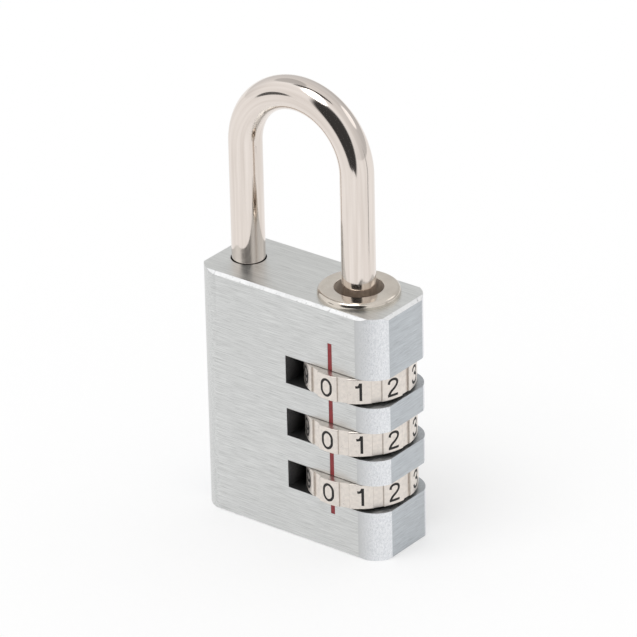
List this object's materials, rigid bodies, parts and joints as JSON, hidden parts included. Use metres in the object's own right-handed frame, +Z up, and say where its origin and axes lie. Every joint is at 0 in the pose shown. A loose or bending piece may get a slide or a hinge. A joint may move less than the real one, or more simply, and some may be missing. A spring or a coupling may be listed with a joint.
{
  "type": "combination padlock",
  "caption": "Combination padlock with a block body, a rounded shackle on a flanged collar and number rings in side slots, with its clutch sleeves inside.",
  "frame": {"origin": "centre of the bottom face of the block", "axes": "+Z up along the legs of the shackle, +X towards the long leg and the open ends of the dial slots, -Y out of the front face with the index line"},
  "size_m": [0.03, 0.0148, 0.0633],
  "materials": {
    "block": "brushed",
    "shackle_bar": "polished nickel plate on hardened steel",
    "collar": "turned and nickel plated",
    "dial": "satin nickel plate",
    "sleeve": "machined",
    "spring_steel": "bright drawn",
    "plug": "turned"
  },
  "bodies": {
    "lock_body": {"lock_body": "block", "shackle_collar": "collar", "bottom_plug": "plug", "clutch_spring": "spring_steel", "detent_spring_1": "spring_steel", "detent_spring_2": "spring_steel", "detent_spring_3": "spring_steel"},
    "stop_ring": {"stop_ring": "spring_steel"},
    "shackle": {"shackle": "shackle_bar"},
    "dial_1": {"dial_1": "dial"},
    "dial_2": {"dial_2": "dial"},
    "dial_3": {"dial_3": "dial"},
    "sleeve_1": {"sleeve_1": "sleeve"},
    "sleeve_2": {"sleeve_2": "sleeve"},
    "sleeve_3": {"sleeve_3": "sleeve"},
    "clutch_washer": {"clutch_washer": "spring_steel"}
  },
  "joints": [
    {"name": "shackle_lift", "type": "slide", "parent": "lock_body", "child": "stop_ring", "axis": [0, 0, 1], "range_m": [0, 0.006]},
    {"name": "shackle_swing", "type": "hinge", "parent": "stop_ring", "child": "shackle", "pos_m": [0.00755, 0, 0.0438], "axis": [0, 0, 1], "continuous": true},
    {"name": "dial_1_turn", "type": "hinge", "parent": "lock_body", "child": "dial_1", "pos_m": [0.00755, 0, 0.0246], "axis": [0, 0, 1], "continuous": true, "deforming": ["detent_spring_1"]},
    {"name": "dial_2_turn", "type": "hinge", "parent": "lock_body", "child": "dial_2", "pos_m": [0.00755, 0, 0.0169], "axis": [0, 0, 1], "continuous": true, "deforming": ["detent_spring_2"]},
    {"name": "dial_3_turn", "type": "hinge", "parent": "lock_body", "child": "dial_3", "pos_m": [0.00755, 0, 0.0092], "axis": [0, 0, 1], "continuous": true, "deforming": ["detent_spring_3"]},
    {"name": "code_reset", "type": "slide", "parent": "lock_body", "child": "clutch_washer", "axis": [0, 0, -1], "range_m": [0, 0.0017], "stiffness_N_per_m": 500, "springref_m": -0.002, "deforming": ["clutch_spring"]},
    {"name": "sleeve_1_slide", "type": "slide", "parent": "dial_1", "child": "sleeve_1", "axis": [0, 0, -1], "range_m": [0, 0.0017]},
    {"name": "sleeve_2_slide", "type": "slide", "parent": "dial_2", "child": "sleeve_2", "axis": [0, 0, -1], "range_m": [0, 0.0017]},
    {"name": "sleeve_3_slide", "type": "slide", "parent": "dial_3", "child": "sleeve_3", "axis": [0, 0, -1], "range_m": [0, 0.0017]}
  ],
  "couplings": [
    {"joint": "sleeve_1_slide", "follows": "code_reset", "ratio": 1},
    {"joint": "sleeve_2_slide", "follows": "code_reset", "ratio": 1},
    {"joint": "sleeve_3_slide", "follows": "code_reset", "ratio": 1}
  ]
}
